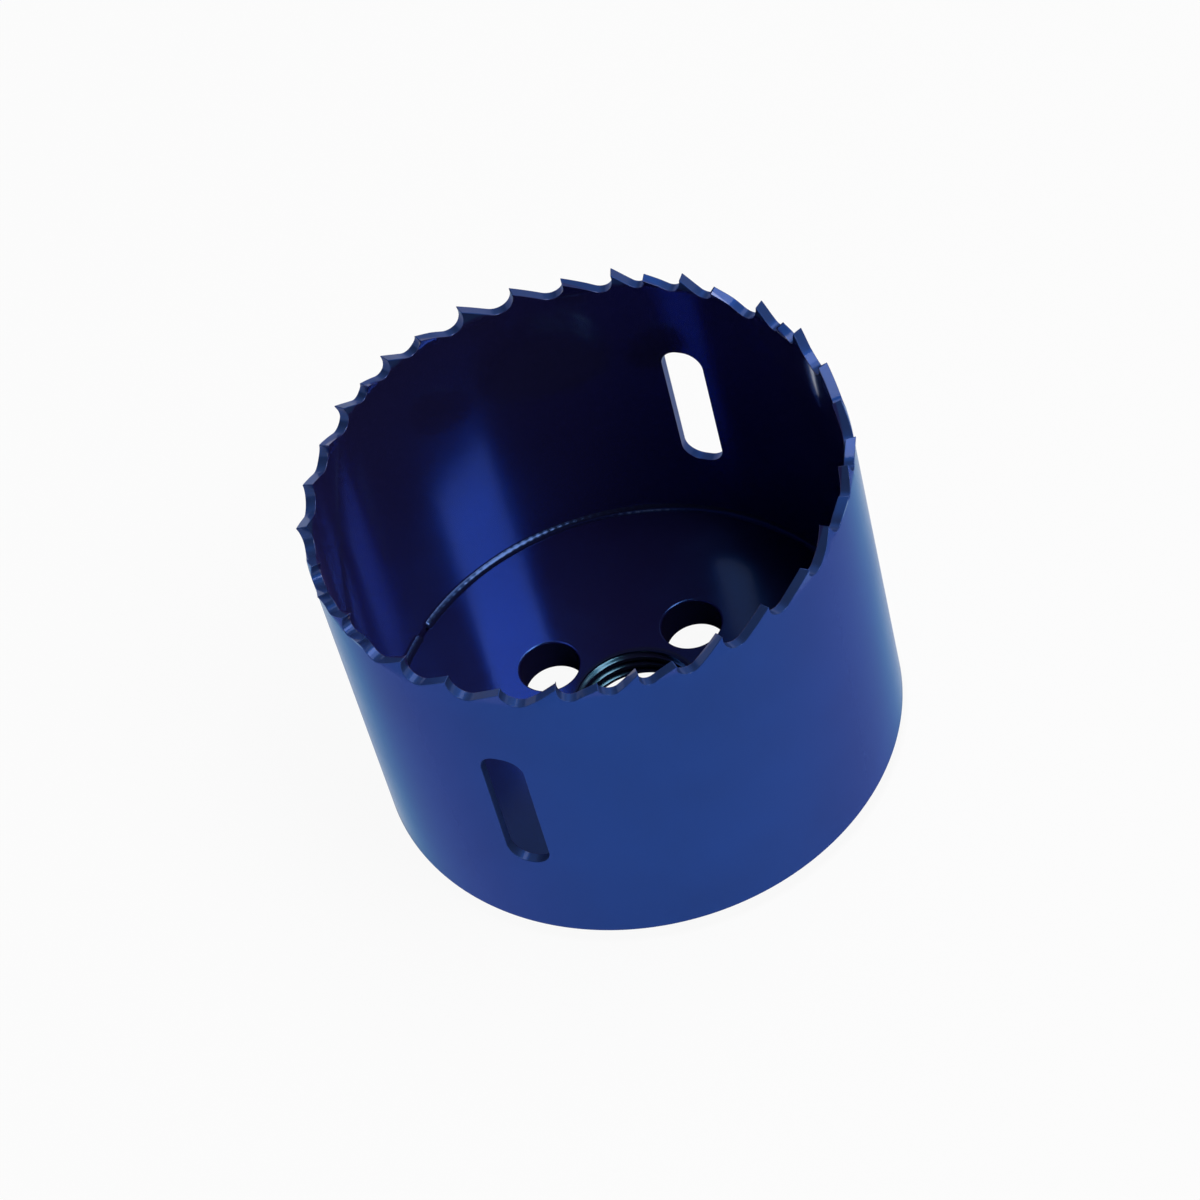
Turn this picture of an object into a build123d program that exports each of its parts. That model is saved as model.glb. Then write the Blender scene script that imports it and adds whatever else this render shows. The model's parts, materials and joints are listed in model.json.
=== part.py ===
from build123d import *
import os
from math import cos, degrees, pi, radians, sin, tan

# Hole saw, bi-metal type, for a large threaded arbor.  Millimetres, +Z up.
# The origin is the centre of the end plate's underside; the part stands on it, teeth up.
# The two ejection slots lie on the X axis.
#
# Three pieces make it:
#   toothed_cup    a steel strip with teeth on its upper edge, rolled up and butt welded
#   backing_plate  the thick end plate: tapped centre hole and four drive pin holes
#   weld_bead      the fillet weld that joins the plate to the inside of the cup

INCH = 25.4

# ---- driving dimensions -------------------------------------------------------------
# cup
cup_od = 63.2                   # over the strip, teeth unset: a 2 1/2 in cutter
cup_height = 44.3               # tooth tips above the cup's lower edge
wall = 1.2                      # strip thickness
rim_chamfer = 0.15              # on the strip's lower outer edge

# teeth: each group has four coarse pitches, then three fine ones, all a little uneven
coarse_pitch = INCH / 4
fine_pitch = INCH / 6
coarse_steps = (0.985, 1.027, 0.98, 0.94)   # shares of the coarse pitch, in their order
fine_steps = (0.99, 1.067, 1.107)           # shares of the fine pitch
skipped_count = 1               # coarse pitches cut off the strip's first group
coarse_depth = 2.45             # gullet depth below the tips
fine_depth = 1.75
rake_angle = 10.0               # hook of the cutting face, from the axis
back_angle = 31.0               # fall of the tooth's back, from the horizontal
tooth_set = 0.45                # how far a tip is bent out or in
set_pattern = (1, 0, -1, 1, -1, 1, -1)      # out, raker, in, out, in, out, in
first_tooth_angle = -35.6       # the first whole tooth after the butt weld
bend_rise = 0.15                # the bend starts this far above the gullet's bottom
tooth_foot = 1.0                # plain strip kept below the deepest gullet

# what is left of the strip beside the butt weld carries one short tooth
weld_tooth_gap = 2.4            # from its tip to the first whole tooth
weld_tooth_drop = 0.6           # its tip below the others
weld_gullet_depth = 1.75        # gullet between it and the first whole tooth

# ejection slots
slot_width = 5.2
slot_bottom = 12.7              # above the cup's lower edge
slot_length = 0.75 * INCH
slot_corner = 2.3

# backing plate
plate_thickness = 3 / 16 * INCH
plate_stand = INCH / 16         # how far the plate stands out below the cup's lower edge
plate_fit = 0.03                # radial clearance to the cup
plate_chamfer = 0.4             # on its outer edges
thread_bore_d = 14.5            # tap drill size for 5/8-18 UNF, left untapped
entry_chamfer = 0.8             # on the bore's lower end, where the arbor screws in
mouth_chamfer = 0.5             # on its upper end
pin_circle_d = 1.0 * INCH
pin_hole_d = 7.45
pin_hole_count = 4
pin_hole_angle = -12.1          # first hole, from the X axis
pin_chamfer = 0.25

# weld bead
bead_leg = 0.8
bead_crown = 0.12               # how far the middle of its face stands past flat
bead_gap = 2.4                  # degrees left open where the weld starts and stops
bead_gap_angle = 81.3

# ---- sizes that follow from them ----------------------------------------------------
cup_r = cup_od / 2
bore_r = cup_r - wall
plate_r = bore_r - plate_fit
strip_length = 2 * pi * cup_r
past = 4.0                      # how far a cutter runs past what it cuts
same_size = 0.01                # diameters this close are the same


def tooth_row():
    """Each tooth as (place along the strip, tip drop, set), clockwise from above."""
    pitches = [coarse_pitch * share for share in coarse_steps]
    pitches += [fine_pitch * share for share in fine_steps]
    weld_place = strip_length - weld_tooth_gap
    teeth = []
    place = 0.0
    step = skipped_count
    while place <= weld_place - fine_pitch:
        teeth.append((place, 0.0, tooth_set * set_pattern[len(teeth) % len(set_pattern)]))
        place += pitches[step % len(pitches)]
        step += 1
    teeth.append((weld_place, weld_tooth_drop, -tooth_set))
    return teeth


def strip_angle(place):
    """Angle about Z, in degrees, of a place along the strip."""
    return first_tooth_angle - degrees(place / cup_r)


class Gullet:
    """The gap between two tips: x runs clockwise from the first tip, y up from the tip line."""

    def __init__(self, tooth, next_tooth):
        self.place, drop, _ = tooth
        next_place, next_drop, _ = next_tooth
        self.width = (next_place - self.place) % strip_length
        self.depth = self.pick_depth(drop)
        back = radians(back_angle)
        rake = radians(rake_angle)
        # where the tooth's back and the next cutting face would meet
        grip = tan(back) * tan(rake)
        low = (drop + self.width * tan(back) - next_drop * grip) / (1 - grip)
        low_x = (low - drop) / tan(back)
        # the arc that touches both lines and reaches the depth
        half = (pi / 2 - back - rake) / 2
        lean = pi - back - half
        radius = (low - self.depth) / (sin(lean) / sin(half) - 1)
        reach = radius / sin(half)
        touch = radius / tan(half)
        self.bottom_x = low_x + reach * cos(lean)
        self.back_top = (-(past + drop) / tan(back), past)
        self.back_end = (low_x - touch * cos(back), touch * sin(back) - low)
        self.arc_middle = (low_x + (reach - radius) * cos(lean), (reach - radius) * sin(lean) - low)
        self.rake_end = (low_x - touch * sin(rake), touch * cos(rake) - low)
        self.rake_top = (self.width - (past + next_drop) * tan(rake), past)

    def pick_depth(self, drop):
        if drop > 0:
            return weld_gullet_depth
        return coarse_depth if self.width > (coarse_pitch + fine_pitch) / 2 else fine_depth

    def cutter(self):
        """The solid that mills the gap, square to the strip at the gap's middle."""
        outline = Polyline(self.rake_end, self.rake_top, self.back_top, self.back_end)
        outline += ThreePointArc(self.back_end, self.arc_middle, self.rake_end)
        angle = radians(strip_angle(self.place + self.width / 2))
        clockwise = Vector(sin(angle), -cos(angle), 0)
        inward = Vector(-cos(angle), -sin(angle), 0)
        origin = inward * -cup_r + clockwise * (-self.width / 2) + Vector(0, 0, cup_height)
        face = Plane(origin=origin, x_dir=clockwise, z_dir=inward) * make_face(outline)
        return extrude(face, amount=past, both=True)


def tooth_blank(place, before, after, tip_set, bend_z, foot_z):
    """A stretch of strip that is bent out or in above bend_z, between two gullet bottoms."""
    section = Polyline(
        (bore_r, foot_z),
        (cup_r, foot_z),
        (cup_r, bend_z),
        (cup_r + tip_set, cup_height),
        (bore_r + tip_set, cup_height),
        (bore_r, bend_z),
        close=True,
    )
    face = Plane.XZ * make_face(section)
    arc = degrees((before + after) / cup_r)
    turn = Rot(0, 0, strip_angle(place + after))
    return turn * revolve(face, axis=Axis.Z, revolution_arc=arc)


def toothed_cup():
    """Built with its lower edge at zero, then raised to where the plate holds it."""
    teeth = tooth_row()
    gaps = [Gullet(tooth, teeth[(i + 1) % len(teeth)]) for i, tooth in enumerate(teeth)]
    cutters = [gap.cutter() for gap in gaps]
    foot_z = cup_height - coarse_depth - tooth_foot
    tube_section = Polyline(
        (bore_r, 0),
        (cup_r - rim_chamfer, 0),
        (cup_r, rim_chamfer),
        (cup_r, foot_z),
        (bore_r, foot_z),
        close=True,
    )
    # its seam runs up to a tip, clear of every gullet bottom
    tube = Rot(0, 0, first_tooth_angle) * revolve(Plane.XZ * make_face(tube_section), axis=Axis.Z)
    solids = []
    for i, (place, _, tip_set) in enumerate(teeth):
        before = gaps[i - 1]
        after = gaps[i]
        bend_z = cup_height - min(before.depth, after.depth) + bend_rise
        rear = before.width - before.bottom_x
        blank = tooth_blank(place, rear, after.bottom_x, tip_set, bend_z, foot_z)
        solids.append(blank - cutters[i - 1] - cutters[i])
    cup = tube + solids
    corner = min(slot_corner, 0.45 * slot_width)
    slot = Plane.YZ * Pos(0, slot_bottom + slot_length / 2) * RectangleRounded(slot_width, slot_length, corner)
    cup -= extrude(slot, amount=cup_r + past, both=True)
    return Pos(0, 0, plate_stand) * cup


def rims(plate, diameter):
    """The circular edges of the plate that have this diameter, lowest first."""
    circles = plate.edges().filter_by(GeomType.CIRCLE)
    same = circles.filter_by(lambda edge: abs(2 * edge.radius - diameter) < same_size)
    return same.sort_by(Axis.Z)


def backing_plate():
    pins = PolarLocations(pin_circle_d / 2, pin_hole_count, start_angle=pin_hole_angle)
    outline = Circle(plate_r) - Circle(thread_bore_d / 2) - pins * Circle(pin_hole_d / 2)
    plate = extrude(outline, amount=plate_thickness)
    # the chamfers share what metal stands between the bore and a pin hole
    land = (pin_circle_d - pin_hole_d - thread_bore_d) / 2
    plate = chamfer(rims(plate, thread_bore_d)[0], min(entry_chamfer, land / 2))
    plate = chamfer(rims(plate, thread_bore_d)[-1], min(mouth_chamfer, land / 3))
    plate = chamfer(rims(plate, pin_hole_d), min(pin_chamfer, land / 6))
    return chamfer(rims(plate, 2 * plate_r), plate_chamfer)


def weld_bead():
    toe = (bore_r - bead_leg, plate_thickness)
    top = (bore_r, plate_thickness + bead_leg)
    swell = bead_leg / 2 + bead_crown * cos(radians(45))
    crown = (bore_r - swell, plate_thickness + swell)
    section = Polyline(top, (bore_r, plate_thickness), toe, crown, close=True)
    face = Plane.XZ * make_face(section)
    turn = Rot(0, 0, bead_gap_angle + bead_gap / 2)
    return turn * revolve(face, axis=Axis.Z, revolution_arc=360 - bead_gap)


PIECES = {
    "toothed_cup": toothed_cup,
    "backing_plate": backing_plate,
    "weld_bead": weld_bead,
}

os.makedirs("parts", exist_ok=True)
for name, build in PIECES.items():
    export_step(build(), f"parts/{name}.step")
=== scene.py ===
import json
import math

import bpy
import numpy as np
from mathutils import Matrix, Vector
from mathutils.geometry import delaunay_2d_cdt

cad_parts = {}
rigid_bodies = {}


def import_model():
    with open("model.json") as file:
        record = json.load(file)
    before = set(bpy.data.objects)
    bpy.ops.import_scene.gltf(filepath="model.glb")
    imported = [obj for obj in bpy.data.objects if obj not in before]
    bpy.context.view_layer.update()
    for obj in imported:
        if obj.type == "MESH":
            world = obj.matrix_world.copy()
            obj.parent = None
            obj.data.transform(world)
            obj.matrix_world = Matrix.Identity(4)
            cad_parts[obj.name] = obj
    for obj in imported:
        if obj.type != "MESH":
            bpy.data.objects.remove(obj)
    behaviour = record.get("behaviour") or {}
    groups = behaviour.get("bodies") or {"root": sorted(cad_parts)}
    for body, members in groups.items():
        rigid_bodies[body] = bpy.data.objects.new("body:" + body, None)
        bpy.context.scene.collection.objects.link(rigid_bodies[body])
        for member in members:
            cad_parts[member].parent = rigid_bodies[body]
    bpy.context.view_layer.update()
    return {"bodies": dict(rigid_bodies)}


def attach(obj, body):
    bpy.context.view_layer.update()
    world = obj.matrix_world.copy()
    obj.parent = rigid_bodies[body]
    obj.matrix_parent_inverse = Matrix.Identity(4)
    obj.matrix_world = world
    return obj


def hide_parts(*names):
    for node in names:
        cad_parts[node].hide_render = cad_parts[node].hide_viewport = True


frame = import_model()
body = next(iter(frame["bodies"]))

# ---- sizes, in millimetres, as in the CAD part ---------------------------------------
MM = 0.001               # in metres, as Blender wants it
INCH = 25.4

# cup
CUP_R = 31.6
WALL = 1.2
BORE_R = CUP_R - WALL
CUP_H = 44.3             # tooth tips above the cup's own lower edge
STAND = INCH / 16        # height of that edge above the plate's underside
RIM_CHAMFER = 0.15
STRIP = 2 * math.pi * CUP_R

# teeth: each group has four coarse pitches, then three fine ones
COARSE = INCH / 4
FINE = INCH / 6
COARSE_STEPS = (0.985, 1.027, 0.98, 0.94)
FINE_STEPS = (0.99, 1.067, 1.107)
SKIPPED = 1              # coarse pitches cut off the strip's first group
COARSE_DEPTH = 2.45
FINE_DEPTH = 1.75
RAKE = math.radians(10)
BACK = math.radians(31)
TOOTH_SET = 0.45
BEND_RISE = 0.15
SET_PATTERN = (1, 0, -1, 1, -1, 1, -1)
FIRST_TOOTH = math.radians(-35.6)
WELD_TOOTH_GAP = 2.4
WELD_TOOTH_DROP = 0.6
WELD_GULLET_DEPTH = 1.75

# ejection slots, on the X axis
SLOT_ANGLES = (0.0, math.pi)
SLOT_W = 5.2
SLOT_Z0 = 12.7
SLOT_L = 0.75 * INCH
SLOT_CORNER = 2.3

# backing plate
PLATE_T = 3 / 16 * INCH
PLATE_FIT = 0.03         # radial clearance to the cup
PLATE_R = BORE_R - PLATE_FIT
PLATE_CHAMFER = 0.4
BORE_D = 14.5
MOUTH = 0.5              # chamfer on the bore's upper end
ENTRY = 0.8              # chamfer on its lower end
PIN_COUNT = 4
PIN_CIRCLE_R = INCH / 2
PIN_R = 3.725
PIN_ANGLE = math.radians(-12.1)
PIN_CHAMFER = 0.25

# weld bead
BEAD_LEG = 0.8
BEAD_GAP_AZ = math.radians(81.3)
BEAD_GAP = math.radians(2.4)

# ---- sizes of what only this script draws ---------------------------------------------
EDGE = 0.08              # radius that the paint gives every milled edge
TIP_ROUND = 1.06 * EDGE  # and every tooth's tip
SOFT_BEND = 0.18         # how gently a tooth's bend starts, as a share of its height

THREAD_PITCH = INCH / 18
THREAD_MAJOR_R = 5 / 8 * INCH / 2
THREAD_FLANK = math.radians(30)
ROOT_FILL = 0.1          # paint in the thread's root
ROOT_HALF = 0.12         # half the width of the root's flat
FLANK_EASE = 0.35        # how far the flank's ends are rounded, from 0 to 1

BEAD_WAVES = (3, 5, 8, 13, 21)      # slow changes of the bead's size, in waves a turn
BEAD_SHRINK = 0.035      # the most that one of them takes off, as a share of the size
RIPPLE_PITCH = 1.05      # of the weld pool's ripples
RIPPLE_DEPTH = 0.03      # as a share of the bead's size
RIPPLE_DRIFT = 1.2       # how unevenly they are spaced, in radians
DRIFT_WAVES = 9          # and how often that changes in a turn
BEAD_CROWN = 0.11        # how far the bead's face bulges, as a share of its leg
BEAD_END = 0.55          # length over which its ends round off
BEAD_TIP = 0.02          # share of its size at the very ends

# ---- how finely the meshes are drawn --------------------------------------------------
TURNS = (0, 30, 60, 90)  # degrees at which a rounded milled edge has its points
GRID = 0.8               # spacing of the points on the cup's walls
GRID_GAP = 0.42          # these stay this far from an outline
SEAM_GAP = 0.3           # and this far from the end of the strip
PLATE_GRID = 1.2
PLATE_GRID_GAP = 0.5
ARC_POINTS = 15          # on a gullet's arc
NOSE_POINTS = 8          # round a tooth's tip
SLOT_CORNER_POINTS = 13
SLOT_STEP = 0.7
ROUND_POINTS = 288       # round the plate
PIN_POINTS = 64          # round a pin hole
PIN_ROWS = 6             # down a pin hole's rounded mouth
BORE_LEVELS = 97         # heights of the tapped bore's rows
BEAD_POINTS = 1100
BEAD_ROWS = 9

UP = np.array([0.0, 0.0, 1.0])


# ---- small mesh tools -----------------------------------------------------------------
def unit(rows):
    """Rows of vectors, each brought to length 1."""
    return rows / np.linalg.norm(rows, axis=1)[:, None]


def polar(radius, angle, z):
    """Points from radius, angle and height; radius and height may be single numbers."""
    radius = np.broadcast_to(radius, angle.shape)
    z = np.broadcast_to(z, angle.shape)
    return np.stack([radius * np.cos(angle), radius * np.sin(angle), z], 1)


def outward(angle):
    """Level unit vectors that point away from the Z axis."""
    return polar(1.0, angle, 0.0)


def rays(angle):
    """Unit vectors in a flat drawing."""
    return np.stack([np.cos(angle), np.sin(angle)], 1)


def full_turn(count):
    """Angles in equal steps round a whole turn."""
    return np.linspace(0, 2 * math.pi, count, endpoint=False)


def between(a, b, steps):
    """The points that part a stretch into equal steps, without its ends."""
    share = np.linspace(0, 1, steps + 1)[1:-1, None]
    return a + share * (b - a)


def mesh_object(name, points, faces, material):
    """An object with a smooth-shaded mesh, from points in metres."""
    mesh = bpy.data.meshes.new(name)
    mesh.from_pydata(points, [], faces)
    mesh.validate()
    mesh.polygons.foreach_set("use_smooth", [True] * len(mesh.polygons))
    mesh.update()
    mesh.materials.append(material)
    obj = bpy.data.objects.new(name, mesh)
    bpy.context.scene.collection.objects.link(obj)
    return obj


class Builder:
    """Collects points in millimetres, their normals and faces."""

    def __init__(self):
        self.points = []
        self.normals = []
        self.faces = []

    def add(self, points, normals):
        """Adds points and returns their indices. One normal may stand for all of them."""
        start = len(self.points)
        self.points += [tuple(p) for p in points]
        self.normals += [tuple(n) for n in np.broadcast_to(normals, np.shape(points))]
        return list(range(start, len(self.points)))

    def skin(self, rows, closed=True):
        """Quads between each row of points and the next. All rows have the same count."""
        for low, high in zip(rows, rows[1:]):
            count = len(low)
            for i in range(count if closed else count - 1):
                j = (i + 1) % count
                quad = [low[i], low[j], high[j], high[i]]
                quad = [v for k, v in enumerate(quad) if v != quad[k - 1]]
                if len(quad) > 2:
                    self.faces.append(quad)

    def finish(self, name, material):
        """The object, with every face turned the way of its normals and empty faces left out."""
        points = np.array(self.points)
        normals = unit(np.array(self.normals))
        empty = 1e-16            # twice an area, squared
        faces = []
        for face in self.faces:
            corner = points[face]
            area = np.zeros(3)
            for k in range(1, len(face) - 1):
                area += np.cross(corner[k] - corner[0], corner[k + 1] - corner[0])
            if np.dot(area, area) < empty:
                continue
            faces.append(face if np.dot(area, normals[face].sum(0)) > 0 else face[::-1])
        obj = mesh_object(name, (points * MM).tolist(), faces, material)
        obj.data.normals_split_custom_set_from_vertices(normals.tolist())
        return obj


def inside(points, loop):
    """Even-odd test of many points against one closed outline."""
    hit = np.zeros(len(points), bool)
    x, y = points[:, 0], points[:, 1]
    for (x0, y0), (x1, y1) in zip(loop, np.roll(loop, -1, 0)):
        if y0 == y1:
            continue
        cross = (y0 > y) != (y1 > y)
        hit ^= cross & (x < (x1 - x0) * (y - y0) / (y1 - y0) + x0)
    return hit


def clearance(points, line):
    """Distance of each point to the nearest point of an outline, worked out in batches."""
    best = np.full(len(points), np.inf)
    batch = 200
    for start in range(0, len(line), batch):
        part = line[start:start + batch]
        gap = np.linalg.norm(points[:, None, :] - part[None, :, :], axis=2)
        best = np.minimum(best, gap.min(1))
    return best


def grid_inside(gx, gy, outer, holes, lines, gap):
    """The grid's points inside an outline, outside its holes and a gap away from the lines."""
    points = np.stack([gx.ravel(), gy.ravel()], 1)
    points = points[inside(points, outer)]
    for hole in holes:
        points = points[~inside(points, hole)]
    for line in lines:
        points = points[clearance(points, line) >= gap]
    return points


def fill(outer, holes, inner_points):
    """Triangles that fill an outline round its holes. Returns all points and the triangles."""
    loops = [outer, *holes]
    points = np.concatenate([*loops, inner_points])
    edges = []
    start = 0
    for loop in loops:
        count = len(loop)
        edges += [(start + i, start + (i + 1) % count) for i in range(count)]
        start += count
    same_place = 1e-9
    found = delaunay_2d_cdt([Vector(p) for p in points], edges, [], 0, same_place)
    original = [ids[0] if ids else -1 for ids in found[3]]
    faces = [[original[v] for v in face] for face in found[2]]
    faces = np.array([face for face in faces if -1 not in face])
    middle = points[faces].mean(1)
    keep = inside(middle, outer)
    for hole in holes:
        keep &= ~inside(middle, hole)
    return points, faces[keep]


# ---- toothed cup ----------------------------------------------------------------------
def tooth_row():
    """Each tooth as (place along the strip, tip drop, set), clockwise from above."""
    pitches = [COARSE * share for share in COARSE_STEPS] + [FINE * share for share in FINE_STEPS]
    weld_place = STRIP - WELD_TOOTH_GAP
    teeth = []
    place = 0.0
    step = SKIPPED
    while place <= weld_place - FINE:
        teeth.append((place, 0.0, TOOTH_SET * SET_PATTERN[len(teeth) % len(SET_PATTERN)]))
        place += pitches[step % len(pitches)]
        step += 1
    teeth.append((weld_place, WELD_TOOTH_DROP, -TOOTH_SET))
    return teeth


class Gullet:
    """The gap between two tips: x runs clockwise from the first tip, y up from the tip line."""

    def __init__(self, tooth, next_tooth):
        self.place, drop, _ = tooth
        next_place, next_drop, _ = next_tooth
        self.width = (next_place - self.place) % STRIP
        coarse = self.width > (COARSE + FINE) / 2
        if drop > 0:
            self.depth = WELD_GULLET_DEPTH
        else:
            self.depth = COARSE_DEPTH if coarse else FINE_DEPTH
        self.rake_steps = 3 if coarse else 2
        self.back_steps = 5 if coarse else 3
        # where the tooth's back and the next cutting face would meet
        grip = math.tan(BACK) * math.tan(RAKE)
        low = (drop + self.width * math.tan(BACK) - next_drop * grip) / (1 - grip)
        low_x = (low - drop) / math.tan(BACK)
        # the arc that touches both lines and reaches the depth
        half = (math.pi / 2 - BACK - RAKE) / 2
        lean = math.pi - BACK - half
        radius = (low - self.depth) / (math.sin(lean) / math.sin(half) - 1)
        reach = radius / math.sin(half)
        touch = radius / math.tan(half)
        self.bottom_x = low_x + reach * math.cos(lean)
        self.tip = (0.0, -drop)
        self.next_tip = (self.width, -next_drop)
        self.back_end = (low_x - touch * math.cos(BACK), touch * math.sin(BACK) - low)
        self.rake_end = (low_x - touch * math.sin(RAKE), touch * math.cos(RAKE) - low)
        centre = np.array([self.bottom_x, reach * math.sin(lean) - low])
        first = math.atan2(self.back_end[1] - centre[1], self.back_end[0] - centre[0])
        last = math.atan2(self.rake_end[1] - centre[1], self.rake_end[0] - centre[0])
        ray = rays(np.linspace(first, last, ARC_POINTS))
        self.arc = centre + radius * ray
        self.arc_normals = -ray

    def unroll(self, points, radius):
        """Points of the gap, milled square to its middle, as (strip length, z) on a radius."""
        points = np.atleast_2d(points)
        shift = np.arcsin((points[:, 0] - self.width / 2) / radius)
        place = self.place + self.width / 2 + shift * CUP_R
        return np.stack([place, CUP_H + points[:, 1]], 1)


def meet(a, b, c, d):
    """Where the line through a, b crosses the line through c, d."""
    ab, cd = b - a, d - c
    t = ((c[0] - a[0]) * cd[1] - (c[1] - a[1]) * cd[0]) / (ab[0] * cd[1] - ab[1] * cd[0])
    return a + t * ab


def left_of(a, b):
    """The unit normal on the left of the way from a to b."""
    way = (b - a) / np.linalg.norm(b - a)
    return np.array([-way[1], way[0]])


def round_nose(tip, rake_n, back_n):
    """The arc that rounds the corner between two faces, as points and normals."""
    centre = np.linalg.solve(
        np.array([rake_n, back_n]),
        np.array([tip @ rake_n - TIP_ROUND, tip @ back_n - TIP_ROUND]),
    )
    first = math.atan2(rake_n[1], rake_n[0]) % (2 * math.pi)
    last = math.atan2(back_n[1], back_n[0])
    ray = rays(np.linspace(first, last, NOSE_POINTS))
    return centre + TIP_ROUND * ray, ray


def tooth_outline(gaps, radius):
    """The upper outline at a radius: points and outward normals, one closed turn of the strip.

    It starts at the bottom of the last gullet, and every radius gives the same count."""
    points, normals = [], []

    def put(rows, row_normals):
        points.extend(rows.tolist())
        normals.extend(np.broadcast_to(row_normals, rows.shape).tolist())

    half_arc = ARC_POINTS // 2
    for i, gap in enumerate(gaps):
        last = gaps[i - 1]
        wrap = np.array([STRIP, 0.0]) if i == 0 else np.zeros(2)
        rake_low = last.unroll(last.rake_end, radius)[0] - wrap
        rake_high = last.unroll(last.next_tip, radius)[0] - wrap
        back_high = gap.unroll(gap.tip, radius)[0]
        back_low = gap.unroll(gap.back_end, radius)[0]
        tip = meet(rake_low, rake_high, back_high, back_low)
        rake_n = left_of(rake_low, rake_high)
        back_n = left_of(back_high, back_low)
        nose, nose_n = round_nose(tip, rake_n, back_n)
        # the turn starts half way through the last gullet
        if i == 0:
            arc = last.unroll(last.arc, radius) - wrap
            put(arc[half_arc:], last.arc_normals[half_arc:])
        # up the cutting face, round the tip, down the back and through the next gullet
        put(between(rake_low, nose[0], last.rake_steps), rake_n)
        put(nose, nose_n)
        put(between(nose[-1], back_low, gap.back_steps), back_n)
        end = half_arc + 1 if gap is gaps[-1] else ARC_POINTS
        put(gap.unroll(gap.arc, radius)[:end], gap.arc_normals[:end])
    return np.array(points), np.array(normals)


class Cup:
    """Carries strip coordinates (length along the strip, z) to the rolled and set cup."""

    def __init__(self):
        teeth = tooth_row()
        self.gaps = [Gullet(t, teeth[(i + 1) % len(teeth)]) for i, t in enumerate(teeth)]
        self.bottoms = np.array([gap.place + gap.bottom_x for gap in self.gaps])
        self.start = self.bottoms[-1] - STRIP
        self.sets = np.array([tip_set for _, _, tip_set in teeth])
        depths = np.array([gap.depth for gap in self.gaps])
        self.bend_z = CUP_H - np.minimum(depths, np.roll(depths, 1)) + BEND_RISE

    def lean(self, strip):
        """How far points lean out, and how fast that grows with height."""
        tooth = np.searchsorted(self.bottoms, strip[:, 0]) % len(self.sets)
        bend = self.bend_z[tooth]
        span = CUP_H - bend
        t = np.clip((strip[:, 1] - bend) / span, 0, None)
        full = self.sets[tooth] * (1 + SOFT_BEND)
        out = full * t * t / (t + SOFT_BEND)
        rate = full * (t * t + 2 * t * SOFT_BEND) / (t + SOFT_BEND) ** 2 / span
        return out, rate

    def place(self, strip, depth, plane_normals, turn):
        """Points at a depth below the outer face, and normals turned from radial to in-plane.

        turn is 0 on the outer face, 90 on a milled face and 180 on the inner face."""
        out, rate = self.lean(strip)
        angle = FIRST_TOOTH - strip[:, 0] / CUP_R
        points = polar(CUP_R - depth + out, angle, strip[:, 1] + STAND)
        radial = outward(angle)
        clockwise = np.cross(radial, UP)
        rising = unit(UP + rate[:, None] * radial)
        t = math.radians(turn)
        normals = unit(radial - rate[:, None] * UP) * math.cos(t)
        if plane_normals is not None:
            across = plane_normals[:, :1] * clockwise + plane_normals[:, 1:] * rising
            normals = normals + across * math.sin(t)
        return points, normals


def slot_outline(angle, radius):
    """A slot, milled straight through along X, as (strip length, z) on a radius."""
    half_w, half_l = SLOT_W / 2, SLOT_L / 2
    corners, corner_normals = [], []
    for side, end, first in ((1, 1, 0), (-1, 1, 90), (-1, -1, 180), (1, -1, 270)):
        centre = np.array([side * (half_w - SLOT_CORNER), end * (half_l - SLOT_CORNER)])
        ray = rays(np.radians(np.linspace(first, first + 90, SLOT_CORNER_POINTS)))
        corners.extend(centre + SLOT_CORNER * ray)
        corner_normals.extend(-ray)
    points, normals = [], []
    for k, (a, normal) in enumerate(zip(corners, corner_normals)):
        b = corners[(k + 1) % len(corners)]
        steps = max(1, int(np.linalg.norm(b - a) / SLOT_STEP))
        stretch = [a, *between(a, b, steps)]
        points += stretch
        normals += [normal] * len(stretch)
    points = np.array(points)
    middle = ((FIRST_TOOTH - angle) % (2 * math.pi)) * CUP_R
    place = middle + np.arcsin(points[:, 0] / radius) * CUP_R
    return np.stack([place, points[:, 1] + SLOT_Z0 + half_l], 1), np.array(normals)


def milled_edge(builder, cup, outer, inner, normals):
    """Rows round the edge of a milled face, from the outer wall over to the inner wall.

    Returns the first row and the last."""
    rows = []
    for on_inner, turns in ((False, TURNS), (True, TURNS[::-1])):
        for turn in turns:
            t = math.radians(turn)
            below = EDGE * (1 - math.cos(t))
            back = EDGE * (1 - math.sin(t))
            depth = WALL - below if on_inner else below
            share = depth / WALL
            strip = outer * (1 - share) + inner * share - back * normals
            from_outer = 180 - turn if on_inner else turn
            rows.append(builder.add(*cup.place(strip, depth, normals, from_outer)))
    builder.skin(rows)
    return rows[0], rows[-1]


def wall_outline(cup, top, low_z):
    """The outline of the unrolled wall: lower edge, right seam, teeth from their end, left seam.

    Returns the outline and its four stretches."""
    start, end = cup.start, cup.start + STRIP
    xs = np.linspace(start, end, int(STRIP / GRID) + 1)
    side_z = np.linspace(low_z, top[0, 1], int((top[0, 1] - low_z) / GRID) + 1)[1:-1]
    lower = np.stack([xs, np.full(len(xs), low_z)], 1)
    right = np.stack([np.full(len(side_z), end), side_z], 1)
    left = np.stack([np.full(len(side_z), start), side_z], 1)
    upper = top.copy()
    upper[0, 0], upper[-1] = start, (end, top[0, 1])
    return np.concatenate([lower, right, upper[::-1], left[::-1]]), (lower, right, upper, left)


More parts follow.
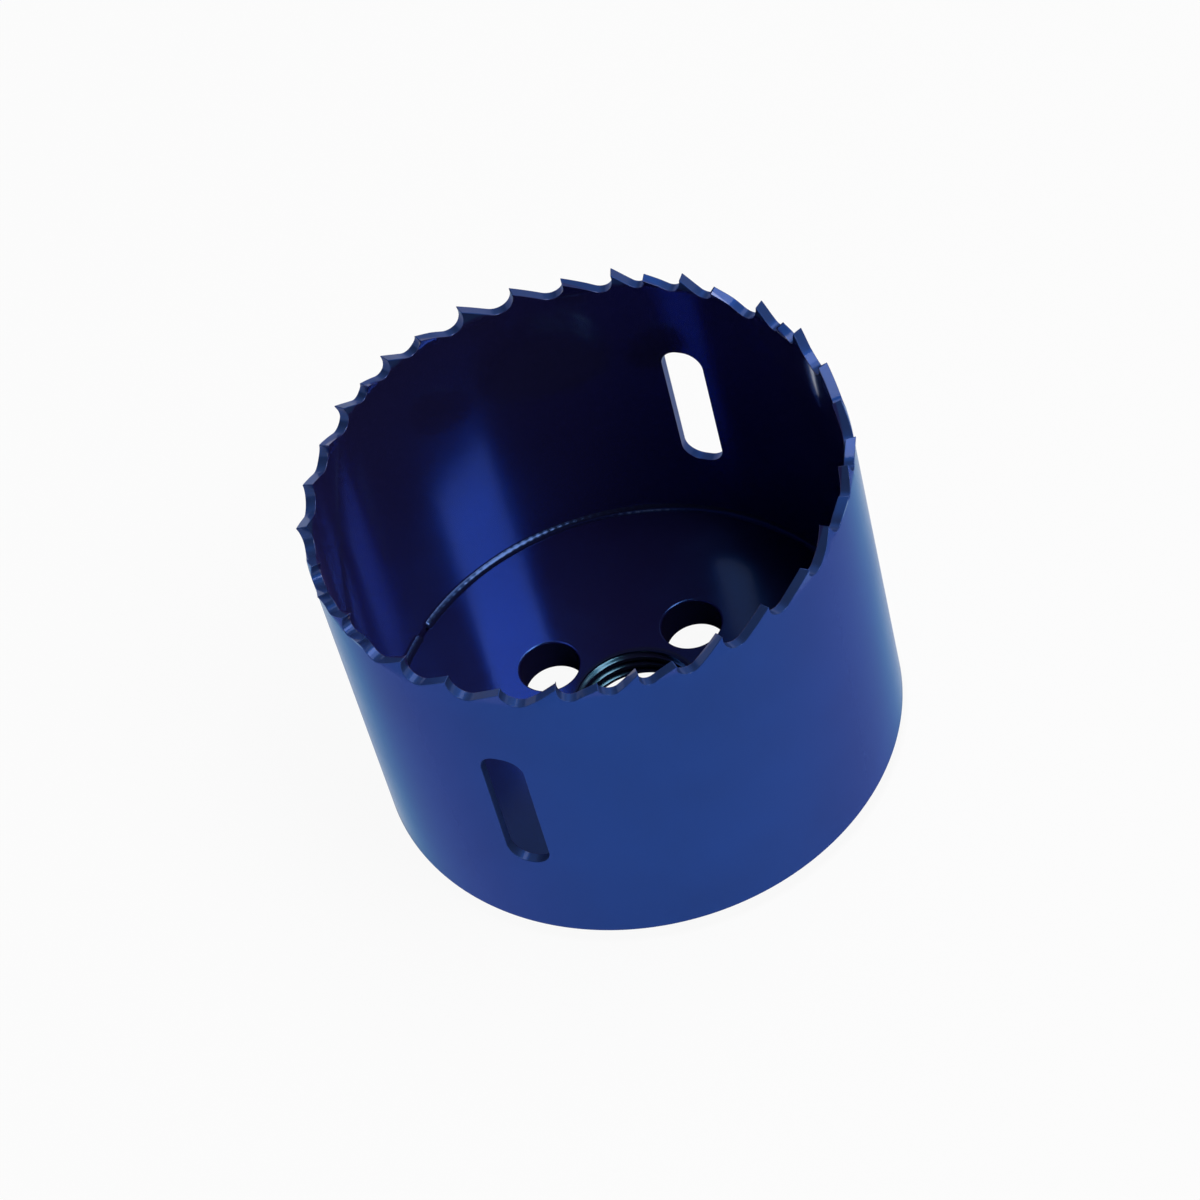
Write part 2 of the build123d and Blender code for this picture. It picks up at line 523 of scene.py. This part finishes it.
def wall_face(builder, cup, depth, top, slots, low_z):
    """One wall of the cup, filled between the teeth, the slots and the lower rim.

    top and slots are (strip points, the indices they already have). Returns the lower row."""
    outer, (lower, right, upper, left) = wall_outline(cup, top[0], low_z)
    holes = [strip for strip, _ in slots]
    xs = lower[:, 0]
    # every second row of the grid is shifted by half a step
    gx, gz = np.meshgrid(xs[1:-1], np.arange(low_z + GRID, CUP_H, GRID))
    gx = gx + (np.arange(gx.shape[0]) % 2)[:, None] * (xs[1] - xs[0]) / 2
    before_seam = gx < cup.start + STRIP - SEAM_GAP
    grid = grid_inside(gx[before_seam], gz[before_seam], outer, holes, (upper, *holes), GRID_GAP)
    points, faces = fill(outer, holes, grid)
    # the teeth and the slots have their points already
    ids = np.full(len(points), -1)
    upper_at = len(lower) + len(right)
    ids[upper_at:upper_at + len(upper)] = top[1][::-1]
    at = upper_at + len(upper) + len(left)
    for strip, slot_ids in slots:
        ids[at:at + len(strip)] = slot_ids
        at += len(strip)
    # the right seam is the left seam, one turn on
    left_end = upper_at + len(upper) + len(left) - 1
    seam = {len(lower) - 1: 0}
    for k in range(len(right)):
        seam[len(lower) + k] = left_end - k
    fresh = np.array([k for k in np.flatnonzero(ids < 0) if k not in seam])
    turn = 180 if depth > 0 else 0
    ids[fresh] = builder.add(*cup.place(points[fresh], depth, None, turn))
    for right_id, left_id in seam.items():
        ids[right_id] = ids[left_id]
    builder.faces += [face for face in ids[faces].tolist() if len(set(face)) == 3]
    return ids[:len(lower) - 1].tolist()


def toothed_cup(material):
    """The cup's two walls with the milled edges between them, and its lower rim."""
    cup = Cup()
    builder = Builder()
    outer, normals = tooth_outline(cup.gaps, CUP_R)
    inner, _ = tooth_outline(cup.gaps, BORE_R)
    # one closed turn: the last point is the first one again
    for line in (outer, inner):
        line[-1] = line[0] + np.array([STRIP, 0.0])
    out_row, in_row = milled_edge(builder, cup, outer[:-1], inner[:-1], normals[:-1])
    out_slots, in_slots = [], []
    for angle in SLOT_ANGLES:
        slot_out, slot_n = slot_outline(angle, CUP_R)
        slot_in, _ = slot_outline(angle, BORE_R)
        first, last = milled_edge(builder, cup, slot_out, slot_in, slot_n)
        out_slots.append((slot_out - EDGE * slot_n, first))
        in_slots.append((slot_in - EDGE * slot_n, last))
    out_top = (outer - EDGE * normals, out_row + out_row[:1])
    in_top = (inner - EDGE * normals, in_row + in_row[:1])
    # lower rim: a chamfer outside, a rounded corner inside, all as the paint leaves them
    c = RIM_CHAMFER
    flat_gap, inner_round = 0.04, 0.06
    inner_mid = 0.3 * inner_round
    out_low = wall_face(builder, cup, 0.0, out_top, out_slots, c + flat_gap)
    in_low = wall_face(builder, cup, WALL, in_top, in_slots, inner_round)
    # (in from the wall, up from the edge, turn): the chamfer's upper half, and its mirror image
    chamfer_half = [(0.01, c, 22.5), (0.035, c - 0.03, 45)]
    section = [(CUP_R - back, rise, turn) for back, rise, turn in chamfer_half]
    section += [(CUP_R - rise, back, 90 - turn) for back, rise, turn in chamfer_half[::-1]]
    section += [(CUP_R - c - flat_gap, 0.0, 90), (BORE_R + inner_round, 0.0, 90)]
    section += [(BORE_R + inner_mid, inner_mid, 135)]
    strip = np.linspace(cup.start, cup.start + STRIP, len(out_low) + 1)[:-1]
    angle = FIRST_TOOTH - strip / CUP_R
    rows = [out_low]
    for radius, z, turn in section:
        t = math.radians(turn)
        rim_normals = outward(angle) * math.cos(t) - UP * math.sin(t)
        rows.append(builder.add(polar(radius, angle, z + STAND), rim_normals))
    rows.append(in_low)
    builder.skin(rows)
    return builder.finish("cup_shell", material)


# ---- backing plate --------------------------------------------------------------------
def thread_radius(height):
    """Radius of the internal thread at a height above the middle of a root."""
    crest, root = BORE_D / 2, THREAD_MAJOR_R - ROOT_FILL
    flank = (root - crest) * math.tan(THREAD_FLANK)
    off_root = np.abs((height / THREAD_PITCH + 0.5) % 1.0 - 0.5) * THREAD_PITCH
    t = np.clip((off_root - ROOT_HALF) / flank, 0, 1)
    eased = t * t * (3 - 2 * t)
    return root + (crest - root) * (FLANK_EASE * eased + (1 - FLANK_EASE) * t)


def tapped_bore(builder, angle):
    """A grid of heights round the bore, each at the thread's or the mouth chamfer's radius."""
    climb = THREAD_PITCH * angle / (2 * math.pi)
    step = 0.02

    def bore_radius(z):
        chamfer = BORE_D / 2 + np.maximum(ENTRY - z, MOUTH - PLATE_T + z)
        return np.maximum(thread_radius(z - climb), chamfer)

    rows = []
    for z in np.linspace(0, PLATE_T, BORE_LEVELS):
        above, below = min(z + step, PLATE_T), max(z - step, 0)
        slope = (bore_radius(above) - bore_radius(below)) / (above - below)
        normals = -outward(angle) + slope[:, None] * UP
        rows.append(builder.add(polar(bore_radius(z), angle, z), normals))
    builder.skin(rows)
    return rows


def pin_holes(builder):
    """The drive pin holes, with rounded mouths. Returns each one's upper and lower row."""
    ray = outward(full_turn(PIN_POINTS))
    section = []
    for t in np.radians(np.linspace(0, 90, PIN_ROWS)):
        radius = PIN_R + PIN_CHAMFER * (1 - math.cos(t))
        section.append((radius, PIN_CHAMFER * (1 - math.sin(t)), t))
    pins = []
    for azimuth in PIN_ANGLE + full_turn(PIN_COUNT):
        centre = PIN_CIRCLE_R * np.array([math.cos(azimuth), math.sin(azimuth), 0.0])
        rows = []
        for radius, depth, t in section[::-1]:
            spot = centre + ray * radius + UP * (PLATE_T - depth)
            rows.append(builder.add(spot, -ray * math.cos(t) + UP * math.sin(t)))
        for radius, depth, t in section:
            spot = centre + ray * radius + UP * depth
            rows.append(builder.add(spot, -ray * math.cos(t) - UP * math.sin(t)))
        builder.skin(rows)
        pins.append((rows[0], rows[-1]))
    return pins


def plate_rim(builder, angle):
    """The plate's outer edge: a wall between two chamfers, with softened corners."""
    c = PLATE_CHAMFER
    ease = 0.05
    # (in from the wall, in from the flat face, turn)
    corner = [(c + EDGE, 0.0, 90), (c - ease, ease, 45), (ease, c - ease, 45), (0.0, c + EDGE, 0)]
    profile = [(PLATE_R - back, PLATE_T - depth, turn) for back, depth, turn in corner]
    profile += [(PLATE_R - back, depth, -turn) for back, depth, turn in corner[::-1]]
    rims = []
    for radius, z, turn in profile:
        t = math.radians(turn)
        normals = outward(angle) * math.cos(t) + UP * math.sin(t)
        rims.append(builder.add(polar(radius, angle, z), normals))
    builder.skin(rims)
    return rims


def plate_face(builder, z, normal, outline, holes):
    """A flat face, on points of its own so that its normals stay flat. Outlines are indices."""
    made = np.array(builder.points)[:, :2]
    outer = made[outline]
    inner = [made[hole] for hole in holes]
    # the grid is a little off centre, so that none of its points lines up with an outline's
    reach, shift = 30, 0.013
    steps = np.arange(-reach, reach, PLATE_GRID) + shift
    gx, gy = np.meshgrid(steps, steps)
    spots = grid_inside(gx, gy, outer, inner, [outer, *inner], PLATE_GRID_GAP)
    flat, faces = fill(outer, inner, spots)
    ids = builder.add(np.concatenate([flat, np.full((len(flat), 1), z)], 1), normal)
    builder.faces += (faces + ids[0]).tolist()


def backing_plate(material):
    """The plate, with its tapped bore and its drive pin holes."""
    builder = Builder()
    angle = full_turn(ROUND_POINTS)
    bore = tapped_bore(builder, angle)
    pins = pin_holes(builder)
    rims = plate_rim(builder, angle)
    plate_face(builder, PLATE_T, UP, rims[0], [bore[-1], *[upper for upper, _ in pins]])
    plate_face(builder, 0.0, -UP, rims[-1], [bore[0], *[lower for _, lower in pins]])
    return builder.finish("end_plate", material)


# ---- weld bead ------------------------------------------------------------------------
def bead_size(angle, along):
    """Size along the bead, where 1 is its full leg."""
    rng = np.random.default_rng(7)
    about_a_turn = 6.28
    size = np.ones(len(angle))
    for waves in BEAD_WAVES:
        change = rng.uniform(-BEAD_SHRINK, 0.0)
        size += change * (1 + np.cos(waves * angle + rng.uniform(0, about_a_turn)))
    # the weld pool's ripples, a little unevenly spaced
    phase = 2 * math.pi * along / RIPPLE_PITCH + RIPPLE_DRIFT * np.sin(angle * DRIFT_WAVES)
    size -= RIPPLE_DEPTH * (0.5 + 0.5 * np.sin(phase))
    to_end = np.minimum(along, along[-1] - along)
    rounding = 1 - (1 - np.clip(to_end / BEAD_END, 0, 1)) ** 2
    return size * np.sqrt(np.clip(rounding, BEAD_TIP ** 2, 1))


def weld_bead(material):
    """The fillet weld between the cup and the plate, open where it starts and stops."""
    builder = Builder()
    angle = BEAD_GAP_AZ + BEAD_GAP / 2 + np.linspace(0, 2 * math.pi - BEAD_GAP, BEAD_POINTS)
    along = (angle - angle[0]) * BORE_R
    size = bead_size(angle, along)
    radial = outward(angle)
    # a crowned face between the wall and the plate
    section = []
    for share in np.linspace(0, 1, BEAD_ROWS):
        bulge = BEAD_CROWN * math.sin(math.pi * share)
        radius = BORE_R - BEAD_LEG * size * (share + bulge)
        section.append((radius, PLATE_T + BEAD_LEG * size * (1 - share + bulge)))
    # its normals follow part of the changes of size along the bead, up to a steepest slope
    part, steepest = 0.6, 3
    tilt = (part * BEAD_LEG * np.gradient(size, along)).clip(-steepest, steepest)
    rows = []
    for k, (radius, z) in enumerate(section):
        before = section[max(k - 1, 0)]
        after = section[min(k + 1, len(section) - 1)]
        dr, dz = after[0] - before[0], after[1] - before[1]
        normals = unit(dz[:, None] * radial - dr[:, None] * UP)
        normals = normals - np.cross(UP, radial) * tilt[:, None]
        rows.append(builder.add(polar(radius, angle, z), normals))
    builder.skin(rows, closed=False)
    # the two faces against the wall and the plate close the bead
    corner = polar(BORE_R, angle, PLATE_T)
    made = np.array(builder.points)
    foot = [builder.add(corner, -UP), builder.add(made[rows[-1]], -UP)]
    back = [builder.add(corner, radial), builder.add(made[rows[0]], radial)]
    builder.skin(foot, closed=False)
    builder.skin(back, closed=False)
    for k, way in ((0, -1), (-1, 1)):
        cap = np.array([corner[k], *[made[row[k]] for row in rows]])
        ids = builder.add(cap, way * np.array([-math.sin(angle[k]), math.cos(angle[k]), 0.0]))
        builder.faces += [[ids[0], a, b] for a, b in zip(ids[1:], ids[2:])]
    return builder.finish("plate_weld", material)


# ---- node tools -------------------------------------------------------------------------
def feed(tree, socket, value):
    """Links a socket to another node's output, or gives it a plain value."""
    if isinstance(value, bpy.types.NodeSocket):
        tree.links.new(value, socket)
    else:
        socket.default_value = value


def node(tree, kind, x, y, inputs):
    """A node at a place in the editor, with its inputs by name or number."""
    made = tree.nodes.new("ShaderNode" + kind)
    made.location = (x, y)
    for key, value in inputs.items():
        feed(tree, made.inputs[key], value)
    return made


def maths(tree, operation, x, y, *values, kind="Math", output=0):
    """The result of a Math or Vector Math node."""
    made = node(tree, kind, x, y, dict(enumerate(values)))
    made.operation = operation
    return made.outputs[output]


def project(tree, x, y, a, b):
    """The dot product of two vectors."""
    return maths(tree, "DOT_PRODUCT", x, y, a, b, kind="VectorMath", output="Value")


def from_axis(tree, position, x, y):
    """The level vector from the Z axis to a position, and its length."""
    level = maths(tree, "MULTIPLY", x, y, position, (1, 1, 0), kind="VectorMath")
    return level, maths(tree, "LENGTH", x + 180, y, level, kind="VectorMath", output="Value")


def map_range(tree, value, x, y, low, high, to_low=0.0, to_high=1.0):
    """Brings low to to_low and high to to_high, and stays at these beyond them."""
    ends = {"From Min": low, "From Max": high, "To Min": to_low, "To Max": to_high}
    return node(tree, "MapRange", x, y, {"Value": value, **ends}).outputs[0]


def mix_colour(tree, x, y, factor, a, b, blend="MIX"):
    """a where the factor is 0, and a blended with b where it is 1."""
    made = node(tree, "Mix", x, y, {})
    made.data_type = "RGBA"
    made.blend_type = blend
    for key, value in {"Factor": factor, "A": a, "B": b}.items():
        feed(tree, made.inputs[key], value)
    return made.outputs["Result"]


def colour_ramp(tree, value, x, y, first, last, interpolation="LINEAR"):
    """A colour by value, between two (position, red, green, blue)."""
    made = node(tree, "ValToRGB", x, y, {0: value})
    made.color_ramp.interpolation = interpolation
    for stop, (position, *colour) in zip(made.color_ramp.elements, (first, last)):
        stop.position = position
        stop.color = (*colour, 1)
    return made.outputs[0]


def noise(tree, position, y, scale, detail, roughness):
    """The value of a noise texture."""
    inputs = {"Vector": position, "Scale": scale, "Detail": detail, "Roughness": roughness}
    return node(tree, "TexNoise", -800, y, inputs).outputs["Fac"]


def raise_by(tree, socket, mask, amount, x, y):
    """Adds an amount to a socket where the mask is 1."""
    now = socket.links[0].from_socket if socket.links else socket.default_value
    tree.links.new(maths(tree, "MULTIPLY_ADD", x, y, mask, amount, now), socket)


# ---- enamel -----------------------------------------------------------------------------
METAL = 0.88                     # how far the steel behind the film shows
GLINT = (0.19, 0.48, 0.78, 1)    # tint of what the steel reflects at a flat angle
HAZE_SHARE = 0.06                # of the light that pigment scatters within the film
MOTTLE = 0.18                    # change of the base colour, to either side
ROUGHNESS = (0.16, 0.25)
GRAIN_IN_COLOUR = 0.35           # weight of the fine grain beside the slow drift
GRAIN_IN_RELIEF = 0.25           # and beside the orange peel
BUMP = 0.35
BUMP_HEIGHT = 0.00003

CUP_SHADE, CUP_HAZE = (0.0015, 0.032, 0.19), (0.26, 0.19, 0.80)
PLATE_SHADE, PLATE_HAZE = (0.004, 0.048, 0.20), (0.15, 0.05, 0.38)
# the bead's darker colours are partly painted shade, for the corner between the wall and the plate
BEAD_SHADE, BEAD_HAZE = (0.002, 0.024, 0.10), (0.13, 0.10, 0.36)
THREAD_SHADE = (0.012, 0.060, 0.095, 1)      # dark steel under a thin film
THIN_TO, COVERED_FROM = 0.6, 1.0             # millimetres from the bore
SATIN_HAZE = (0.18, 0.31, 0.88, 1)
SATIN_LIFT = (0.001, 0.0, 0.015, 1)          # added to the base colour
SATIN_OVER = 0.08                            # millimetres over which gloss turns to satin
EDGE_DULL = (0.5, 0.80, 0.70, 1)             # multiplies the base colour on milled edges
EDGE_FACING = (0.55, 0.80)                   # how far a surface faces the axis: edge, wall
INSIDE_POLISH = 0.62                         # share of the roughness that the inside has


class Enamel:
    """Translucent blue enamel over steel: fine mottle and orange peel under a clear coat."""

    def __init__(self, name, shade, milk, gloss, coat_rough):
        self.material = bpy.data.materials.new(name)
        self.material.use_nodes = True
        self.tree = tree = self.material.node_tree
        tree.nodes.clear()
        where = node(tree, "TexCoord", -1100, 0, {})
        self.normal = where.outputs["Normal"]
        position = where.outputs["Object"]
        self.level, self.distance = from_axis(tree, position, -800, -600)

        # slow drift of the film's thickness, with a fine grain; the ends are where noise values lie
        drift = noise(tree, position, 250, scale=55.0, detail=3.0, roughness=0.55)
        grain = noise(tree, position, 0, scale=1500.0, detail=3.0, roughness=0.6)
        both = maths(tree, "MULTIPLY_ADD", -560, 150, grain, GRAIN_IN_COLOUR, drift)
        thin, thick = ([c * share for c in shade] for share in (1 - MOTTLE, 1 + MOTTLE))
        colour = colour_ramp(tree, both, -350, 200, (0.38, *thin), (0.95, *thick))
        rough = map_range(tree, drift, -350, -50, 0.3, 0.7, *ROUGHNESS)

        # orange peel
        peel = noise(tree, position, -300, scale=420.0, detail=2.0, roughness=0.5)
        height = maths(tree, "MULTIPLY_ADD", -560, -300, grain, GRAIN_IN_RELIEF, peel)
        relief = {"Strength": BUMP, "Distance": BUMP_HEIGHT, "Height": height}
        bumps = node(tree, "Bump", 300, -300, relief)

        self.coat = node(tree, "BsdfPrincipled", 600, 0, {
            "Base Color": colour,
            "Metallic": METAL,
            "Roughness": rough,
            "Normal": bumps.outputs[0],
            "Specular Tint": GLINT,
            "Coat Weight": gloss,
            "Coat Roughness": coat_rough,
        })
        # a little pigment scatters light within the film
        self.haze = node(tree, "BsdfDiffuse", 800, -250, {"Color": (*milk, 1)})
        shaders = {"Fac": HAZE_SHARE, 1: self.coat.outputs[0], 2: self.haze.outputs[0]}
        self.film = node(tree, "MixShader", 1050, 0, shaders)
        node(tree, "OutputMaterial", 1300, 0, {0: self.film.outputs[0]})

    def tint(self, x, factor, colour, blend="MIX"):
        """Blends a colour into the base colour."""
        base = self.coat.inputs["Base Color"]
        now = base.links[0].from_socket
        self.tree.links.new(mix_colour(self.tree, x, 200, factor, now, colour, blend), base)


def cup_enamel():
    """The inside of the cup is glossy; its milled edges and its outside are satin."""
    enamel = Enamel("cup_enamel", CUP_SHADE, CUP_HAZE, gloss=1.0, coat_rough=0.07)
    tree, coat, film = enamel.tree, enamel.coat, enamel.film
    wall = (BORE_R + EDGE / 2) * MM
    satin = map_range(tree, enamel.distance, -400, -600, wall, wall + SATIN_OVER * MM)
    # milled edges: the surface doesn't face the axis, nor away from it
    facing = project(tree, -600, -1500, enamel.level, enamel.normal)
    share = maths(tree, "DIVIDE", -400, -1500, facing, enamel.distance)
    size = maths(tree, "ABSOLUTE", -200, -1500, share)
    edge = map_range(tree, size, 0, -1500, *EDGE_FACING, 1.0, 0.0)

    rough = coat.inputs["Roughness"]
    polish = map_range(tree, satin, 0, -850, 0.0, 1.0, INSIDE_POLISH, 1.0)
    smoother = maths(tree, "MULTIPLY", 250, -650, rough.links[0].from_socket, polish)
    tree.links.new(smoother, rough)
    raise_by(tree, rough, edge, 0.20, 400, -650)
    # by how much each changes on satin paint, and by how much more on the milled edges
    for y, socket, on_satin, on_edge in (
        (-850, coat.inputs["Coat Weight"], -0.88, 0.20),
        (-1050, film.inputs["Fac"], 0.04, 0.01),
        (-1250, coat.inputs["Coat Roughness"], 0.15, -0.14),
    ):
        raise_by(tree, socket, satin, on_satin, 250, y)
        raise_by(tree, socket, edge, on_edge, 400, y)
    milk = enamel.haze.inputs["Color"]
    tree.links.new(mix_colour(tree, 550, -450, satin, milk.default_value, SATIN_HAZE), milk)
    # the outside film is a little thinner, so more steel shows through it
    enamel.tint(200, satin, SATIN_LIFT, "ADD")
    # on the milled edges the film lies thicker and duller
    enamel.tint(400, edge, EDGE_DULL, "MULTIPLY")
    return enamel.material


def plate_enamel():
    """Duller than inside the cup, and thin over the thread, where dark steel shows through it."""
    enamel = Enamel("plate_enamel", PLATE_SHADE, PLATE_HAZE, gloss=0.55, coat_rough=0.12)
    bounds = [(BORE_D / 2 + reach) * MM for reach in (THIN_TO, COVERED_FROM)]
    thread = map_range(enamel.tree, enamel.distance, -400, -600, *bounds, 1.0, 0.0)
    enamel.tint(200, thread, THREAD_SHADE)
    return enamel.material


def bead_enamel():
    """Darker and duller still, where paint gathers on the weld; the darker colour is also painted
    shade in the corner between the wall and the plate.
    """
    return Enamel("bead_enamel", BEAD_SHADE, BEAD_HAZE, gloss=0.5, coat_rough=0.16).material


cup = toothed_cup(cup_enamel())
plate = backing_plate(plate_enamel())
bead = weld_bead(bead_enamel())
for obj, replaced, slot in (
    (cup, "toothed_cup", "cup_paint"),
    (plate, "backing_plate", "plate_paint"),
    (bead, "weld_bead", "bead_paint"),
):
    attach(obj, body)
    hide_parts(replaced)


# ---- floor and backdrop, in metres --------------------------------------------------------
FLOOR_RINGS = (0.3, 0.7, 1.0)
FLOOR_DROP = 0.00005     # a hair below the plate, so that no two faces coincide
CURVE_R = 0.25           # of the curve from the floor to the backdrop
CURVE_STEPS = 9
BACKDROP_TOP = 0.62
SWEEP_POINTS = 96
STAGE_LIT = 0.94         # share of plain white that the eye and reflections see
CUP_SHADOW = (0.0314, 0.0322)       # radii between which the painted shadow under the cup ends
IN_SHADOW, IN_LIGHT = (0.02, 0.02, 0.02, 1), (0.8, 0.8, 0.8, 1)
WHITE = (1, 1, 1, 1)


def stage_white():
    """Plain white; the eye and reflections see it near full white, with a trace of shadow."""
    material = bpy.data.materials.new("stage_white")
    material.use_nodes = True
    tree = material.node_tree
    tree.nodes.clear()
    # under the cup the floor has a near-black colour, a painted shadow, and reflections show that
    where = node(tree, "NewGeometry", -1100, 0, {})
    _, distance = from_axis(tree, where.outputs["Position"], -900, 0)
    clear = map_range(tree, distance, -500, 0, *CUP_SHADOW)
    shade = mix_colour(tree, -150, -200, clear, IN_SHADOW, IN_LIGHT)
    matt = node(tree, "BsdfDiffuse", 100, -100, {"Color": shade})
    glow = node(tree, "Emission", 100, -250, {"Color": WHITE, "Strength": 1.0})
    ray = node(tree, "LightPath", -500, 200, {}).outputs
    mirrored = maths(tree, "MULTIPLY", -400, 100, ray["Is Glossy Ray"], clear)
    seen = maths(tree, "MAXIMUM", -300, 200, ray["Is Camera Ray"], mirrored)
    seen = maths(tree, "MAXIMUM", -120, 200, seen, ray["Is Transmission Ray"])
    share = maths(tree, "MULTIPLY", 60, 200, seen, STAGE_LIT)
    mix = node(tree, "MixShader", 400, 0, {0: share, 1: matt.outputs[0], 2: glow.outputs[0]})
    node(tree, "OutputMaterial", 600, 0, {0: mix.outputs[0]})
    return material


def sweep():
    """A round white floor that curves up into a low backdrop all round."""
    floor_r = FLOOR_RINGS[-1]
    section = [(radius, 0.0) for radius in FLOOR_RINGS]
    for t in np.radians(np.linspace(0, 90, CURVE_STEPS + 1)[1:-1]):
        section.append((floor_r + CURVE_R * math.sin(t), CURVE_R * (1 - math.cos(t))))
    section += [(floor_r + CURVE_R, CURVE_R), (floor_r + CURVE_R, BACKDROP_TOP)]
    points = [(0, 0, -FLOOR_DROP)]
    for radius, z in section:
        points += polar(radius, full_turn(SWEEP_POINTS), z - FLOOR_DROP).tolist()
    turns = [(k, (k + 1) % SWEEP_POINTS) for k in range(SWEEP_POINTS)]
    faces = [(0, 1 + k, 1 + following) for k, following in turns]
    for ring in range(len(section) - 1):
        a, b = 1 + ring * SWEEP_POINTS, 1 + (ring + 1) * SWEEP_POINTS
        faces += [(a + k, b + k, b + following, a + following) for k, following in turns]
    mesh_object("sweep", points, faces, stage_white())


sweep()

# ---- light, in the photo's frame, which is turned from the part's ---------------------------
TURN = math.radians(-58.4)
LIGHT_DISTANCE = 0.9
LIGHT_AIM = Vector((0, 0, 0.02))
ROOM_BRIGHT_WAY = TURN + 0.6     # the room is brightest on this side, to the right and behind
ROOM_RISE = 0.15                 # and a little more so above
ROOM_DARK = 0.004
ROOM_BRIGHT = 0.30
ROOM_FULL_AT = 0.6               # how far towards that side it reaches this brightness


def soft_light(name, azimuth, elevation, width, height, radiance):
    """An area light of this radiance (white = 1) that faces the cup from a direction."""
    a, e = math.radians(azimuth) + TURN, math.radians(elevation)
    way = Vector((math.cos(a) * math.cos(e), math.sin(a) * math.cos(e), math.sin(e)))
    data = bpy.data.lights.new(name, "AREA")
    data.shape = "RECTANGLE"
    data.size, data.size_y = width, height
    data.energy = radiance * width * height * math.pi
    obj = bpy.data.objects.new(name, data)
    obj.location = way * LIGHT_DISTANCE + LIGHT_AIM
    obj.rotation_mode = "QUATERNION"
    obj.rotation_quaternion = way.to_track_quat("Z", "Y")
    bpy.context.scene.collection.objects.link(obj)


def studio_room():
    """The room round the stage: bright to the right and behind, dark on the camera's side."""
    world = bpy.data.worlds.new("studio")
    bpy.context.scene.world = world
    world.use_nodes = True
    tree = world.node_tree
    way = node(tree, "TexCoord", -900, 0, {}).outputs["Generated"]
    bright_way = (math.cos(ROOM_BRIGHT_WAY), math.sin(ROOM_BRIGHT_WAY), ROOM_RISE)
    side = project(tree, -700, 0, way, bright_way)
    dark, bright = (0.0, *[ROOM_DARK] * 3), (ROOM_FULL_AT, *[ROOM_BRIGHT] * 3)
    level = colour_ramp(tree, side, -400, 0, dark, bright, interpolation="EASE")
    sky = tree.nodes["Background"]
    sky.inputs["Strength"].default_value = 1.0
    tree.links.new(level, sky.inputs["Color"])


soft_light("key_box", azimuth=-40, elevation=56, width=0.34, height=0.5, radiance=6.2)
soft_light("top_box", azimuth=35, elevation=70, width=0.50, height=0.38, radiance=3.0)
studio_room()

# ---- camera, as fitted to the photo, in the photo's frame ----------------------------------
PAN = math.radians(-0.29654)
TILT = math.radians(48.54767)
ROLL = math.radians(-15.93195)
CAMERA_AT = Vector((0.000591, -0.312630, 0.377833))
FOCAL_PIXELS = 4059.565
PHOTO_PIXELS = 1200
SENSOR = 36


def photo_camera():
    """The camera, turned with the photo's frame."""
    ahead = (math.sin(PAN) * math.cos(TILT), math.cos(PAN) * math.cos(TILT), -math.sin(TILT))
    ahead = Vector(ahead)
    level = Vector((math.cos(PAN), -math.sin(PAN), 0))
    upright = level.cross(ahead)
    right = math.cos(ROLL) * level + math.sin(ROLL) * upright
    top = -math.sin(ROLL) * level + math.cos(ROLL) * upright
    pose = Matrix((right, top, -ahead)).transposed().to_4x4()
    pose.translation = CAMERA_AT
    lens = bpy.data.cameras.new("camera")
    lens.sensor_width = SENSOR
    lens.lens = FOCAL_PIXELS / PHOTO_PIXELS * SENSOR
    lens.clip_start, lens.clip_end = 0.01, 10
    camera = bpy.data.objects.new("camera", lens)
    camera.matrix_world = Matrix.Rotation(TURN, 4, "Z") @ pose
    bpy.context.scene.collection.objects.link(camera)
    return camera


bpy.context.scene.camera = photo_camera()
bpy.context.scene.view_settings.view_transform = "Standard"
